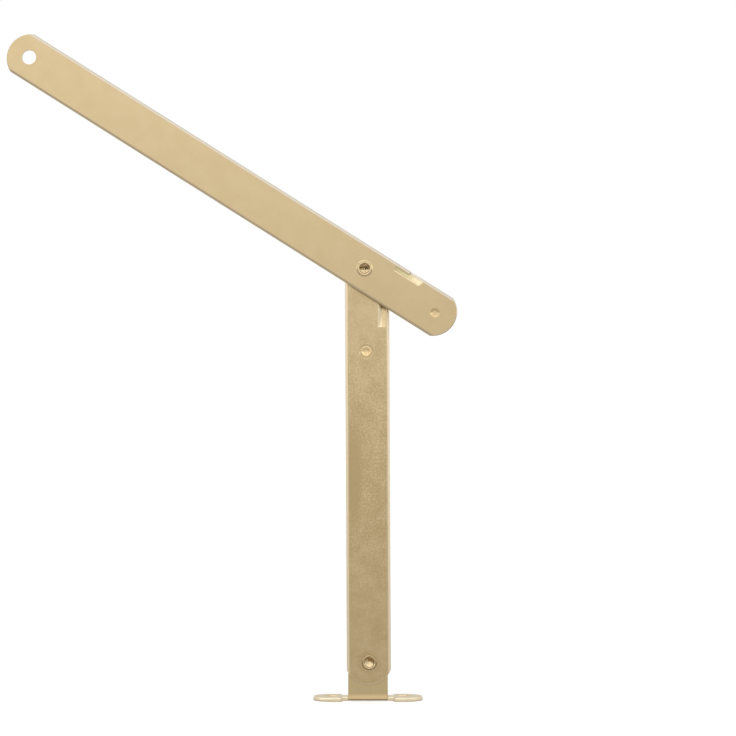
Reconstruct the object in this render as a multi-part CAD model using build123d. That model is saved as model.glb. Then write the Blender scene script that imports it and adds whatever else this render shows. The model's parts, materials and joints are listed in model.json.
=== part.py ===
"""Folding lid stay: two riveted strip arms on a bent foot bracket.

Frame: millimetres, +Z up, +X right, -Y to the front. The origin is on the underside of the
foot plate, midway between its two screw holes. The stay stands half folded, as it rests.
"""
from build123d import *
import os
from math import cos, radians, sin

# ---- strip that both arms are cropped from -------------------------------------------------
STRIP_WIDTH = 13.0
STRIP_THICKNESS = 1.6
MILL_EDGE_REACH = 0.75         # how far the rounded long edge reaches in from the side
END_RADIUS = 7.13              # cropping arc at each end of an arm
END_SETBACK = 0.67             # the arc's centre lies this far inboard of the end hole
CROP_BREAK = 0.3               # worn corner of the cropped end

# ---- reach of the arms, from pivot to pivot ------------------------------------------------
UPPER_REACH = 116.4            # knuckle to the lid screw hole
LOWER_REACH = 115.8            # knuckle to the foot rivet, along the strip
DETENT_RADIUS = 24.4           # knuckle to the dimple, and knuckle to its seat
LID_HOLE_RADIUS = 2.1

# ---- lower arm's holes, to the right of the middle of its strip ----------------------------
KNUCKLE_HOLE_SHIFT = -0.7
SEAT_SHIFT = -0.35
FOOT_HOLE_SHIFT = 0.15
HIDDEN_END_TRIM = 0.5          # its end under the upper arm is cropped this much shorter

# ---- how the stay stands at rest, in degrees -----------------------------------------------
LOWER_LEAN = 0.28              # lower arm from upright, to the left
UPPER_DROOP = 32.2             # upper arm's tail below level, to the right

# ---- pressed lances beside the knuckle, measured along the arm and across it --------------
LANCE_NEAR = 7.6               # start of the opening, from the knuckle
LANCE_STEP = 12.0              # end of the upper arm's opening, where its ramp starts
LANCE_DEPTH = 1.2              # opening's depth below the face
RAMP_DEPTH = 0.85              # ramp's depth at its deep end, on the inner side
TAB_INNER = 4.0                # upper arm: inner side of the lance, from the centreline
TAB_ROLL = 0.45                # upper arm: width of the rolled-in inner edge
TAB_ROLL_DEPTH = 0.3
TAB_FAR = 16.2                 # upper arm: where the ramp's inner side meets the face
TAB_SKEW = 0.32                # upper arm: the ramp runs this much further per mm outwards
POCKET_STEP = 11.0             # lower arm: the same place, at the rail
POCKET_INNER = 3.1             # lower arm: inner side of the pocket
POCKET_ROLL = 1.2              # lower arm: width of the rolled-in inner edge
POCKET_ROLL_DEPTH = 0.6
POCKET_END_DEPTH = 0.32        # lower arm: the ramp's depth where its end starts to rise
POCKET_END_RUN = 0.5           # length of that rise
POCKET_STEP_RUN = 0.6          # lower arm: length of the slope from the ramp into the opening
POCKET_STEP_SKEW = 0.75        # that slope lies this much further down per mm inwards
WALL_LEAN = 0.15               # lean of an inner wall below its rolled edge
POCKET_SPARE = 1.0             # the pocket runs this much further than the tab
RAIL_WIDTH = 0.95              # edge left standing outside an opening
PRESS_PROUD = 0.35             # how far pressed metal stands out at the back

# ---- dimple and its seat -------------------------------------------------------------------
DIMPLE_RADIUS = 1.4
DIMPLE_FLOOR_RADIUS = 0.6
DIMPLE_DEPTH = 0.55
SEAT_CUP_RADIUS = 1.3
SEAT_FLOOR_RADIUS = 0.55
SEAT_CUP_DEPTH = 0.55
SEAT_LIP = 0.12                # flat lip left between the cup and the coined groove
SEAT_RING_RADIUS = 2.12        # outside of the groove
SEAT_RING_DEPTH = 0.14
SEAT_RING_SLOPE = 0.2          # width of each sloping side of the groove
NUB_WALL = 0.25                # pressed nub at the back is wider than the dimple by this

# ---- foot bracket --------------------------------------------------------------------------
SHEET = 1.2
STEM_WIDTH = 11.7
STEM_EDGE_ROUND = 0.45         # rolled-over edge on the stem's front
BEND_OUTER_RADIUS = 2.0
RIVET_HEIGHT = 11.6            # foot rivet above the underside
RIVET_OFFSET = 0.4             # foot rivet to the right of the stem's middle
FOOT_HOLE_SPACING = 21.1
FOOT_HOLE_RADIUS = 2.0
EAR_RADIUS = 5.6
EAR_INNER = 7.6                # inner side of each ear, from the middle
EAR_LEAD = 2.0                 # how far the ears reach in front of the stem
RELIEF_DEPTH = 1.2             # relief beside the bend, behind the stem's front
NECK_REAR = 2.2                # rear edge of the neck that joins the ears
EAR_CORNER = 1.0
PLATE_BREAK = 0.25

# ---- rivets and washer ---------------------------------------------------------------------
RUN_CLEARANCE = 0.05           # radial and axial play of a piece that turns
SEAT_CLEARANCE = 0.01          # round a shank that stays put
WASHER_THICKNESS = 0.5
WASHER_RADIUS = 4.5
HEAD_HEIGHT = 0.9
HEAD_ROUND = 0.6
KNUCKLE_SHANK_RADIUS = 1.85
KNUCKLE_HEAD_RADIUS = 3.2
KNUCKLE_RIM_RADIUS = 2.45
KNUCKLE_RIM_HEIGHT = 0.45
KNUCKLE_CREST_RADIUS = 1.8
KNUCKLE_HOLLOW_RADIUS = 1.35
KNUCKLE_HOLLOW_DEPTH = 0.9
FOOT_SHANK_RADIUS = 1.65
FOOT_HEAD_RADIUS = 3.0
FOOT_RIM_RADIUS = 2.3
FOOT_RIM_HEIGHT = 0.42
FOOT_CREST_RADIUS = 1.85
FOOT_HOLLOW_RADIUS = 1.35
FOOT_HOLLOW_DEPTH = 0.6
HOLLOW_CONE = 0.5              # depth of a hollow's cone, as a share of its radius

# ---- places that follow from the sizes above -----------------------------------------------
STRIP_HALF = STRIP_WIDTH / 2
RAIL_INNER = STRIP_HALF - RAIL_WIDTH
POCKET_FAR = TAB_FAR + POCKET_SPARE
STEM_FRONT = -EAR_RADIUS + EAR_LEAD
LOWER_FRONT = STEM_FRONT - RUN_CLEARANCE - STRIP_THICKNESS
UPPER_FRONT = LOWER_FRONT - WASHER_THICKNESS - RUN_CLEARANCE - STRIP_THICKNESS
HOLE_STEP = FOOT_HOLE_SHIFT - KNUCKLE_HOLE_SHIFT
LEAN_SIN = sin(radians(LOWER_LEAN))
LEAN_COS = cos(radians(LOWER_LEAN))
KNUCKLE_X = RIVET_OFFSET - LOWER_REACH * LEAN_SIN - HOLE_STEP * LEAN_COS
KNUCKLE_Z = RIVET_HEIGHT + LOWER_REACH * LEAN_COS - HOLE_STEP * LEAN_SIN


def disc(radius, depth, along):
    """Round bar from y = 0 backwards, centred at a height along Z."""
    return extrude(Plane.XZ * Pos(0, along) * Circle(radius), -depth)


def strip(low, high):
    """Rolled strip along Z with rounded long edges, its front face at y = 0."""
    flat_half = STRIP_HALF - MILL_EDGE_REACH
    section = Rectangle(2 * flat_half, STRIP_THICKNESS)
    for side in (-1, 1):
        section += Pos(side * flat_half, 0) * Ellipse(MILL_EDGE_REACH, STRIP_THICKNESS / 2)
    return Pos(0, STRIP_THICKNESS / 2, low) * extrude(section, high - low)


def cropped_arm(low_hole, high_hole):
    """Strip cropped to an arc round the hole or dimple nearest to each end."""
    low = low_hole + END_SETBACK
    high = high_hole - END_SETBACK
    outline = SlotCenterToCenter(high - low, 2 * END_RADIUS, rotation=90)
    crop = extrude(Plane.XZ * Pos(0, (low + high) / 2) * outline, -STRIP_THICKNESS)
    rims = crop.faces().filter_by(Axis.Y).edges()
    return strip(low - END_RADIUS, high + END_RADIUS) & fillet(rims, CROP_BREAK)


def block(inner, outer, near, far, front, back):
    """Box from its two sides, its two stations down the arm and its front and back."""
    box = Box(outer - inner, back - front, far - near)
    return Pos((inner + outer) / 2, (front + back) / 2, -(near + far) / 2) * box


def ahead_of(origin, along, down):
    """Everything in front of the plane through `origin` that holds both directions."""
    normal = Vector(along).cross(Vector(down))
    if normal.Y > 0:
        normal = -normal
    reach = 4 * STRIP_WIDTH
    facing = (Align.CENTER, Align.CENTER, Align.MIN)
    return Plane(origin, x_dir=along, z_dir=normal) * Box(reach, reach, reach, align=facing)


def inner_side(inner, roll, roll_depth):
    """Space outside the inner side of a lance: a rolled-in edge above a steep wall."""
    down_arm = (0, 0, 1)
    foot_of_roll = inner + roll
    rolled_edge = ahead_of((inner, 0, 0), down_arm, (roll, roll_depth, 0))
    wall_drop = LANCE_DEPTH - roll_depth
    steep_wall = ahead_of((foot_of_roll, roll_depth, 0), down_arm, (WALL_LEAN, wall_drop, 0))
    return rolled_edge + steep_wall


def ramp(step, far, far_depth, skew):
    """Space in front of the ramp that climbs from the opening's end to `far_depth` at `far`."""
    climb = (0, RAMP_DEPTH - far_depth, far - step)
    return ahead_of((0, far_depth, -far), (1, 0, -skew), climb)


def tab_cut():
    """Upper arm's lance: its ramp breaks out through the arm's edge."""
    cut = block(TAB_INNER, RAIL_INNER, LANCE_NEAR, LANCE_STEP, 0, LANCE_DEPTH)
    run = block(TAB_INNER, STRIP_WIDTH, LANCE_STEP, TAB_FAR + END_RADIUS, 0, LANCE_DEPTH)
    middle_far = TAB_FAR - TAB_SKEW * TAB_INNER
    cut += run & ramp(LANCE_STEP, middle_far, 0, TAB_SKEW)
    return cut & inner_side(TAB_INNER, TAB_ROLL, TAB_ROLL_DEPTH)


def pocket_cut():
    """Lower arm's lance: its ramp stays inside the rail, with a slope at both ends."""
    step = (RAIL_INNER, RAMP_DEPTH, -POCKET_STEP)
    step_down = (0, LANCE_DEPTH - RAMP_DEPTH, POCKET_STEP_RUN)
    rise = (0, POCKET_END_DEPTH, POCKET_END_RUN)
    cut = block(POCKET_INNER, RAIL_INNER, LANCE_NEAR, POCKET_FAR, 0, LANCE_DEPTH)
    floor = ramp(POCKET_STEP, POCKET_FAR - POCKET_END_RUN, POCKET_END_DEPTH, 0)
    cut &= floor + ahead_of(step, (1, 0, POCKET_STEP_SKEW), step_down)
    cut &= ahead_of((0, 0, -POCKET_FAR), (1, 0, 0), rise)
    return cut & inner_side(POCKET_INNER, POCKET_ROLL, POCKET_ROLL_DEPTH)


def pressed_back(inner, outer, step, far):
    """Metal that a lance pushes out at the back: a flat tab that ramps back to the face."""
    back = STRIP_THICKNESS
    tab = block(inner, outer, LANCE_NEAR, step, back, back + PRESS_PROUD)
    corners = [(back, -step), (back + PRESS_PROUD, -step), (back, -far)]
    ramp = extrude(Plane.YZ * make_face(Polyline(corners, close=True)), outer - inner)
    return tab + Pos(inner, 0, 0) * ramp


def dome(base_radius, height):
    """Round cap of a given base and height, bulging along +Y from y = 0."""
    ball_radius = (base_radius ** 2 + height ** 2) / (2 * height)
    ball = Pos(0, height - ball_radius, 0) * Sphere(ball_radius)
    return ball & Pos(0, ball_radius, 0) * Box(4 * ball_radius, 2 * ball_radius, 4 * ball_radius)


def cup(lip_radius, floor_radius, depth):
    """Shallow cup with sloping sides and a flat floor, sunk along +Y from y = 0."""
    side = Polyline((0, 0), (lip_radius, 0), (floor_radius, depth), (0, depth), close=True)
    return revolve(make_face(side), Axis.Y)


def seat_cut():
    """Round seat: a cup with a shallow coined groove round it."""
    groove_inner = SEAT_CUP_RADIUS + SEAT_LIP
    groove = Polyline((groove_inner, 0), (groove_inner + SEAT_RING_SLOPE, SEAT_RING_DEPTH),
                      (SEAT_RING_RADIUS - SEAT_RING_SLOPE, SEAT_RING_DEPTH),
                      (SEAT_RING_RADIUS, 0), close=True)
    return cup(SEAT_CUP_RADIUS, SEAT_FLOOR_RADIUS, SEAT_CUP_DEPTH) + revolve(make_face(groove), Axis.Y)


def make_upper_arm():
    """Front arm: lid screw hole, knuckle hole, edge tab and dimple."""
    arm = cropped_arm(-DETENT_RADIUS, UPPER_REACH)
    arm += pressed_back(TAB_INNER, RAIL_INNER, LANCE_STEP, TAB_FAR)
    arm += Pos(0, STRIP_THICKNESS, -DETENT_RADIUS) * dome(DIMPLE_RADIUS + NUB_WALL, PRESS_PROUD)
    arm -= tab_cut()
    arm -= Pos(0, 0, -DETENT_RADIUS) * cup(DIMPLE_RADIUS, DIMPLE_FLOOR_RADIUS, DIMPLE_DEPTH)
    arm -= disc(KNUCKLE_SHANK_RADIUS + RUN_CLEARANCE, STRIP_THICKNESS, 0)
    arm -= disc(LID_HOLE_RADIUS, STRIP_THICKNESS, UPPER_REACH)
    return arm


def make_lower_arm():
    """Rear arm: knuckle hole, edge pocket, dimple seat and foot rivet hole."""
    seat = Pos(SEAT_SHIFT, 0, -DETENT_RADIUS)
    nub = dome(SEAT_CUP_RADIUS + NUB_WALL, PRESS_PROUD)
    knuckle_hole = disc(KNUCKLE_SHANK_RADIUS + SEAT_CLEARANCE, STRIP_THICKNESS, 0)
    foot_hole = disc(FOOT_SHANK_RADIUS + RUN_CLEARANCE, STRIP_THICKNESS, -LOWER_REACH)
    arm = cropped_arm(-LOWER_REACH, -HIDDEN_END_TRIM)
    arm += pressed_back(POCKET_INNER, RAIL_INNER, LANCE_STEP, POCKET_FAR)
    arm += seat * Pos(0, STRIP_THICKNESS, 0) * nub
    arm -= pocket_cut()
    arm -= seat * seat_cut()
    arm -= Pos(KNUCKLE_HOLE_SHIFT, 0, 0) * knuckle_hole
    arm -= Pos(FOOT_HOLE_SHIFT, 0, 0) * foot_hole
    return arm


def make_rivet(shank, head, rim, rim_height, crest, hollow, hollow_depth, grip):
    """Semi-tubular rivet: head at y = grip, rolled rim in front of y = 0."""
    head_back = grip + HEAD_HEIGHT
    cone_tip = hollow_depth + HOLLOW_CONE * hollow
    flare_end = rim_height / 2
    roll = EllipticalCenterArc((crest, 0), rim - crest, rim_height, 270)
    flare = EllipticalCenterArc((crest, flare_end), crest - hollow, rim_height + flare_end, 180)
    bore = Polyline((hollow, flare_end), (hollow, hollow_depth), (0, cone_tip))
    back = Polyline((0, cone_tip), (0, head_back), (head - HEAD_ROUND, head_back))
    shoulder = CenterArc((head - HEAD_ROUND, head_back - HEAD_ROUND), HEAD_ROUND, 0, 90)
    side = Polyline((head, head_back - HEAD_ROUND), (head, grip), (shank, grip), (shank, 0), (rim, 0))
    profile = make_face([roll, flare, bore, back, shoulder, side])
    return revolve(profile, Axis.Y)


def make_washer():
    """Flat washer that keeps the arms apart, its front face at y = 0."""
    ring = disc(WASHER_RADIUS, WASHER_THICKNESS, 0)
    return ring - disc(KNUCKLE_SHANK_RADIUS + SEAT_CLEARANCE, WASHER_THICKNESS, 0)


def stem_section():
    """Section of the bent strip: width along X, thickness along Y, rolled front corners."""
    sheet = Pos(0, SHEET / 2) * Rectangle(STEM_WIDTH, SHEET)
    front_corners = sheet.vertices().group_by(Axis.Y)[0]
    return fillet(front_corners, STEM_EDGE_ROUND)


def bent_stem():
    """Upright stem, its bend and the tongue that runs back from the bend."""
    section = stem_section()
    stem_top = RIVET_HEIGHT + STEM_WIDTH / 2
    upright = Pos(0, 0, BEND_OUTER_RADIUS) * extrude(section, stem_top - BEND_OUTER_RADIUS)
    bend_axis = Axis((0, BEND_OUTER_RADIUS, 0), (1, 0, 0))
    bend = Pos(0, 0, BEND_OUTER_RADIUS) * revolve(section, bend_axis, 90)
    shaper = disc(STEM_WIDTH / 2, SHEET, RIVET_HEIGHT)
    lower_part = Box(STEM_WIDTH, SHEET, RIVET_HEIGHT, align=(Align.CENTER, Align.MIN, Align.MIN))
    upright &= shaper + lower_part
    return Pos(0, STEM_FRONT, 0) * (upright + bend)


def ear_outline(side):
    """Plan of one ear: round outside, cut off square with small corners inside."""
    hole_x = FOOT_HOLE_SPACING / 2
    square = Rectangle(hole_x - EAR_INNER, 2 * EAR_RADIUS, align=(Align.MIN, Align.CENTER))
    inner_corners = square.vertices().group_by(Axis.X)[0]
    square = fillet(inner_corners, EAR_CORNER)
    outer_half = Rectangle(EAR_RADIUS, 2 * EAR_RADIUS, align=(Align.MIN, Align.CENTER))
    round_end = Pos(hole_x, 0) * (Circle(EAR_RADIUS) & outer_half)
    ear = Pos(EAR_INNER, 0) * square + round_end
    return ear if side > 0 else mirror(ear, Plane.YZ)


def plate_outline():
    """Plan of the foot plate: two round ears joined by a narrower neck."""
    neck_front = STEM_FRONT + RELIEF_DEPTH
    bend_line = STEM_FRONT + BEND_OUTER_RADIUS
    neck_middle = (neck_front + NECK_REAR) / 2
    neck = Pos(0, neck_middle) * Rectangle(2 * EAR_INNER, NECK_REAR - neck_front)
    bend_gap = Pos(0, (neck_front + bend_line) / 2) * Rectangle(STEM_WIDTH, bend_line - neck_front)
    return neck - bend_gap + ear_outline(-1) + ear_outline(1)


def make_foot_bracket():
    """Bracket folded from one sheet, with the rivet hole and two screw holes."""
    plate = extrude(plate_outline(), SHEET)
    plate = fillet(plate.faces().sort_by(Axis.Z)[-1].outer_wire().edges(), PLATE_BREAK)
    bracket = bent_stem() + plate
    rivet_hole = disc(FOOT_SHANK_RADIUS + SEAT_CLEARANCE, SHEET, RIVET_HEIGHT)
    for side in (-1, 1):
        hole = Cylinder(FOOT_HOLE_RADIUS, 2 * SHEET)
        bracket -= Pos(side * FOOT_HOLE_SPACING / 2, 0, SHEET / 2) * hole
    return bracket - Pos(RIVET_OFFSET, STEM_FRONT, 0) * rivet_hole


def make_nodes():
    """Every piece in its place at rest, by node name."""
    knuckle = Pos(KNUCKLE_X, 0, KNUCKLE_Z)
    lower_place = knuckle * Rot(0, -LOWER_LEAN, 0) * Pos(-KNUCKLE_HOLE_SHIFT, LOWER_FRONT, 0)
    upper_place = knuckle * Pos(0, UPPER_FRONT, 0) * Rot(0, UPPER_DROOP - 90, 0)
    knuckle_grip = LOWER_FRONT + STRIP_THICKNESS - (UPPER_FRONT - RUN_CLEARANCE)
    foot_grip = STEM_FRONT + SHEET - (LOWER_FRONT - RUN_CLEARANCE)
    knuckle_rivet = make_rivet(KNUCKLE_SHANK_RADIUS, KNUCKLE_HEAD_RADIUS, KNUCKLE_RIM_RADIUS,
                               KNUCKLE_RIM_HEIGHT, KNUCKLE_CREST_RADIUS,
                               KNUCKLE_HOLLOW_RADIUS, KNUCKLE_HOLLOW_DEPTH, knuckle_grip)
    foot_rivet = make_rivet(FOOT_SHANK_RADIUS, FOOT_HEAD_RADIUS, FOOT_RIM_RADIUS, FOOT_RIM_HEIGHT,
                            FOOT_CREST_RADIUS, FOOT_HOLLOW_RADIUS, FOOT_HOLLOW_DEPTH, foot_grip)
    return {
        "upper_arm": upper_place * make_upper_arm(),
        "lower_arm": lower_place * make_lower_arm(),
        "foot_bracket": make_foot_bracket(),
        "knuckle_washer": knuckle * Pos(0, LOWER_FRONT - WASHER_THICKNESS, 0) * make_washer(),
        "knuckle_rivet": knuckle * Pos(0, UPPER_FRONT - RUN_CLEARANCE, 0) * knuckle_rivet,
        "foot_rivet": Pos(RIVET_OFFSET, LOWER_FRONT - RUN_CLEARANCE, RIVET_HEIGHT) * foot_rivet,
    }


os.makedirs("parts", exist_ok=True)
for node, solid in make_nodes().items():
    export_step(solid, f"parts/{node}.step")
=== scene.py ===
import json
import math

import bmesh
import bpy
from bpy.props import FloatProperty, FloatVectorProperty, IntProperty, PointerProperty
from mathutils import Matrix, Vector


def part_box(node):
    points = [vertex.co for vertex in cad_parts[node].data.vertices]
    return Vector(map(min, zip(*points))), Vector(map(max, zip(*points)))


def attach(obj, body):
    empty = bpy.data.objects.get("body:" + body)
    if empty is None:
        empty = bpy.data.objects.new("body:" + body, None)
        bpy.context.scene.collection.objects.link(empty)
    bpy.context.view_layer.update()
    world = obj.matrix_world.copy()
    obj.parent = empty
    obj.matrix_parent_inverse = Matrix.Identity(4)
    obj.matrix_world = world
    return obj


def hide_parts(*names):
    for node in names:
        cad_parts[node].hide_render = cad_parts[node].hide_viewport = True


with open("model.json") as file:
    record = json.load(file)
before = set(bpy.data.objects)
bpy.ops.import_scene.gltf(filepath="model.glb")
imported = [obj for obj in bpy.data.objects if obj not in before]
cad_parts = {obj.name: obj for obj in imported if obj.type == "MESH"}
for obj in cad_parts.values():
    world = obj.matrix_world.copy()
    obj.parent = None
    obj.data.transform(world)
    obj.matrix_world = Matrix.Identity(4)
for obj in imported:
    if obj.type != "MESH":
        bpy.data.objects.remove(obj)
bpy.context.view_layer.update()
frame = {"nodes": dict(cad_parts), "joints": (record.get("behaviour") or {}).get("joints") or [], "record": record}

bl_info = {
    "name": "Folding lid stay",
    "version": (1, 0, 0),
    "blender": (4, 5, 0),
    "location": "3D View > Sidebar > Lid stay",
    "description": "Dresses a folding lid stay: two strip arms, rivets, a washer and a foot bracket",
    "category": "Object",
}

MM = 0.001
JOINTS = {joint["name"]: Vector(joint["pos_m"]) for joint in frame["joints"]}
KNUCKLE = JOINTS["knuckle"]
FOOT_PIVOT = JOINTS["foot_pivot"]
LID_HOLE = next(Vector(mount["pos_m"]) for mount in frame["record"]["mounts"]
                if mount["name"] == "lid_screw")

LOWER_LEAN = math.radians(0.28)      # lower strip from upright, to the left

# Strips, in mm along an arm from the knuckle, or across it from the strip's middle line.
KNUCKLE_TO_MIDDLE = 0.7              # across, to the middle of the lower strip
DETENT = -24.4                       # along, to the dimple and the seat
TAIL_ARC = -23.73                    # along, to the centre of the arc that crops the upper arm's tail
FOOT_ARC = -115.13                   # the same at the lower arm's foot end
MILL_EDGE = (5.62, 5.82)             # across, where the painted highlight along a long edge starts and is full
CROPPED_EDGE = (6.85, 6.95)          # the same round a cropped end, from its arc's centre
LANCE = (-17.3, -7.5)                # along, both lances lie between these
RAIL_INNER = 5.6                     # across, to the rail left standing outside a lance

# Bracket, in mm.
STEM_SIDE = (5.7, 5.9)               # the stem's side, where the wings begin
BEND_AXIS = (-1.6, 2.0)              # Y and Z of the line that the bend turns round
BEND_MIDDLE_RADIUS = 1.5             # radius of the bend half way through the sheet

# Rivets, in mm.
HEAD_HEIGHT = 0.9
HEAD_ROUND = 0.6
CONE_SHARE = 0.5                     # depth of a hollow's cone, as a share of the hollow's radius

QUARTER_PULL = 0.5523                # reach of a quarter circle's handles, as a share of its radius

# Node kinds and a setting that come up most.
MATH = "ShaderNodeMath"
RAMP = "ShaderNodeMapRange"
SMOOTH = {"interpolation_type": "SMOOTHSTEP"}


def linear(code):
    """Linear colour of an sRGB hex code."""
    parts = [int(code[i:i + 2], 16) / 255 for i in (0, 2, 4)]
    return [c / 12.92 if c <= 0.04045 else ((c + 0.055) / 1.055) ** 2.4 for c in parts]


def turn_from_upright(low, high):
    """Turn about Y that lays the Z axis along the line from `low` to `high`."""
    return math.atan2(high.x - low.x, high.z - low.z)


# ---- sizes, finishes and stage that a user would change --------------------------------------

def distance(name, description, default_mm):
    return FloatProperty(name=name, description=description, default=default_mm * MM,
                         unit="LENGTH", subtype="DISTANCE", precision=5, min=0)


def tone(name, description, code):
    return FloatVectorProperty(name=name, description=description, default=linear(code),
                               subtype="COLOR", size=3, min=0, max=1)


def share(name, description, default):
    return FloatProperty(name=name, description=description, default=default,
                         subtype="FACTOR", min=0, max=1)


class LidStaySizes(bpy.types.PropertyGroup):
    """Sizes of the softened edges and the rivets."""

    arm_edge: distance("Arm edge", "Softening of the arms' cut and pressed edges", 0.09)
    bracket_edge: distance("Bracket edge", "Softening of the bracket's sheared edges", 0.09)
    knuckle_tear: distance("Knuckle tear", "Height of the lumps in the knuckle rivet's hollow", 0.38)
    foot_tear: distance("Foot tear", "Height of the lumps in the foot rivet's hollow", 0.15)
    tear_size: distance("Tear size", "Width of one lump of torn metal", 0.4)
    rim_waver: distance("Rim waver", "How uneven the rolled rims are", 0.05)
    rivet_sides: IntProperty(name="Rivet sides", description="Facets round a rivet",
                             default=72, min=24, max=128)


class LidStayFinish(bpy.types.PropertyGroup):
    """Colours and roughness of the plated metal, with the colours of its painted highlights and shades."""

    plate: tone("Brass plate", "Clean brass plating of the strip", "C9B58F")
    # Also the colour of the painted shade on the lower arm's lower half and round its foot rivet.
    tarnish_and_shade: tone("Tarnish", "Dulled plating", "B19A71")
    # Painted highlight along the lower arm's rounded edges.
    painted_highlight_lower_arm: tone("Burnish", "Steel rubbed bright along the edges of the handled lower arm", "DCCBAD")
    # Painted highlight along the upper arm's rounded edges, a quarter as strong on its lower edge.
    painted_highlight_upper_arm: tone("Worn edge", "Thin greyish plating along the upper arm's rolled edge", "BDB4A5")
    # Painted shade inside a lance's opening.
    painted_recess_shade: tone("Recess", "Thin dull plating inside a lance", "C2B78C")
    # Also the colour of painted shade: along the bracket's bottom and round the foot rivet's rim.
    speck_and_shade: tone("Specks", "Brown specks where the plating is thin", "8C7650")
    rivet: tone("Rivet", "Brass-plated rivet wire", "C8B48E")
    # Painted shade deep in a rivet's hollow.
    painted_hollow_shade: tone("Pit", "Bare dark metal deep in a rivet", "9C8557")
    # Also a painted warm sheen on the outside of the bracket's bend.
    rubbed_and_painted_sheen: tone("Gleam", "Plating pressed or rubbed bright", "E8CC9C")
    sheet: tone("Bracket sheet", "Brass plating of the bracket", "BEAA80")
    # Also a painted reflection on the bracket's wings and a painted highlight on the lances' slopes.
    bare_and_painted_light: tone("Bare metal", "Bright metal bared where it was sheared or lanced", "EADCBC")
    strip_roughness: share("Strip roughness", "Roughness of the rolled strip", 0.30)
    rivet_roughness: share("Rivet roughness", "Roughness of the rivets", 0.24)


class LidStayStage(bpy.types.PropertyGroup):
    """Camera, floor and plain light."""

    camera_distance: FloatProperty(
        name="Camera distance", description="From the camera to the frame's origin plane",
        default=0.8774, unit="LENGTH", subtype="DISTANCE")
    camera_height: FloatProperty(
        name="Camera height", description="Camera above the floor",
        default=0.0982, unit="LENGTH", subtype="DISTANCE")
    lens: FloatProperty(
        name="Lens", description="Focal length of the camera",
        default=145.0, min=1, subtype="DISTANCE_CAMERA")
    floor_size: FloatProperty(
        name="Floor size", description="Width of the floor",
        default=12.0, unit="LENGTH", subtype="DISTANCE")
    plain_level: FloatProperty(
        name="Plain level", description="World light on surfaces that aren't shiny",
        default=0.6, min=0)


GROUPS = {
    "lid_stay_sizes": LidStaySizes,
    "lid_stay_finish": LidStayFinish,
    "lid_stay_stage": LidStayStage,
}


# ---- helpers for node trees and meshes -------------------------------------------------------

def add(tree, kind, inputs=(), out=0, **settings):
    """Adds a node with its settings and links, and gives its output `out`, or all of them for None.
    `inputs` lists what its sockets get, in order, or maps sockets to that: a value, or the output
    that feeds it."""
    node = tree.nodes.new(kind)
    for setting, value in settings.items():
        setattr(node, setting, value)
    for socket, value in inputs.items() if isinstance(inputs, dict) else enumerate(inputs):
        if isinstance(value, bpy.types.NodeSocket):
            tree.links.new(value, node.inputs[socket])
        else:
            node.inputs[socket].default_value = value
    return node.outputs if out is None or not node.outputs else node.outputs[out]


def new_material(name):
    """Node material with nothing in it but its output: the material, its tree and that node."""
    material = bpy.data.materials.new(name)
    material.use_nodes = True
    material.node_tree.nodes.clear()
    return material, material.node_tree, material.node_tree.nodes.new("ShaderNodeOutputMaterial")


def in_metres(lengths_mm):
    return [length * MM for length in lengths_mm]


def softened_copy(node, edge, name, metal):
    """Piece made from a copy of a CAD node: triangles joined, and sharp edges softened by `edge`."""
    mesh = bpy.data.meshes.new(name)
    form = bmesh.new()
    form.from_mesh(frame["nodes"][node].data)
    bmesh.ops.remove_doubles(form, verts=form.verts, dist=1e-7)
    bmesh.ops.dissolve_limit(form, angle_limit=math.radians(0.3), verts=form.verts, edges=form.edges)
    form.to_mesh(mesh)
    form.free()
    piece = bpy.data.objects.new(name, mesh)
    bpy.context.scene.collection.objects.link(piece)
    soften = piece.modifiers.new("Soften", "BEVEL")
    soften.width = edge
    soften.segments = 3
    soften.limit_method = "ANGLE"
    soften.angle_limit = math.radians(32)
    bake(piece, name)
    shade(piece, 34)
    piece.data.materials.clear()
    piece.data.materials.append(metal)
    return piece


def bake(piece, name):
    """Puts the modifiers' result into the piece's own mesh."""
    graph = bpy.context.evaluated_depsgraph_get()
    mesh = bpy.data.meshes.new_from_object(piece.evaluated_get(graph))
    piece.modifiers.clear()
    old = piece.data
    piece.data = mesh
    bpy.data.meshes.remove(old)
    mesh.name = name
    piece.name = name


def shade(piece, angle):
    """Smooth shading up to `angle` degrees between faces, with the large flat faces kept flat."""
    piece.data.shade_smooth()
    piece.data.set_sharp_from_angle(angle=math.radians(angle))
    weigh = piece.modifiers.new("Flat faces", "WEIGHTED_NORMAL")
    weigh.keep_sharp = True
    weigh.weight = 100
    bake(piece, piece.name)


# ---- materials -------------------------------------------------------------------------------

def from_middle(tree, origin, turn):
    """Object coordinates laid along a strip: X across and Z along it, from `origin` on its middle."""
    place = add(tree, "ShaderNodeTexCoord", out="Object")
    return add(tree, "ShaderNodeMapping",
               {"Vector": place, "Location": origin, "Rotation": (0, turn, 0)}, vector_type="TEXTURE")


def apart(tree, a, b):
    """How far apart two points are that lie `a` and `b` from each other, at right angles."""
    step = add(tree, "ShaderNodeCombineXYZ", [a, b])
    return add(tree, "ShaderNodeVectorMath", [step], out="Value", operation="LENGTH")


def oval(tree, vector, centre_mm, reach_mm):
    """0 in the middle of an oval spot on a strip, 1 on its outline and more outside."""
    spot = add(tree, "ShaderNodeMapping",
               {"Vector": vector, "Location": in_metres(centre_mm), "Scale": in_metres(reach_mm)},
               vector_type="TEXTURE")
    return add(tree, "ShaderNodeVectorMath", [spot], out="Value", operation="LENGTH")


def between(tree, value, limits_mm):
    """1 where the value lies between the two limits."""
    low, high = in_metres(limits_mm)
    above = add(tree, MATH, [value, low], operation="GREATER_THAN")
    under = add(tree, MATH, [value, high], operation="LESS_THAN")
    return add(tree, MATH, [above, under], operation="MULTIPLY")


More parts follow.
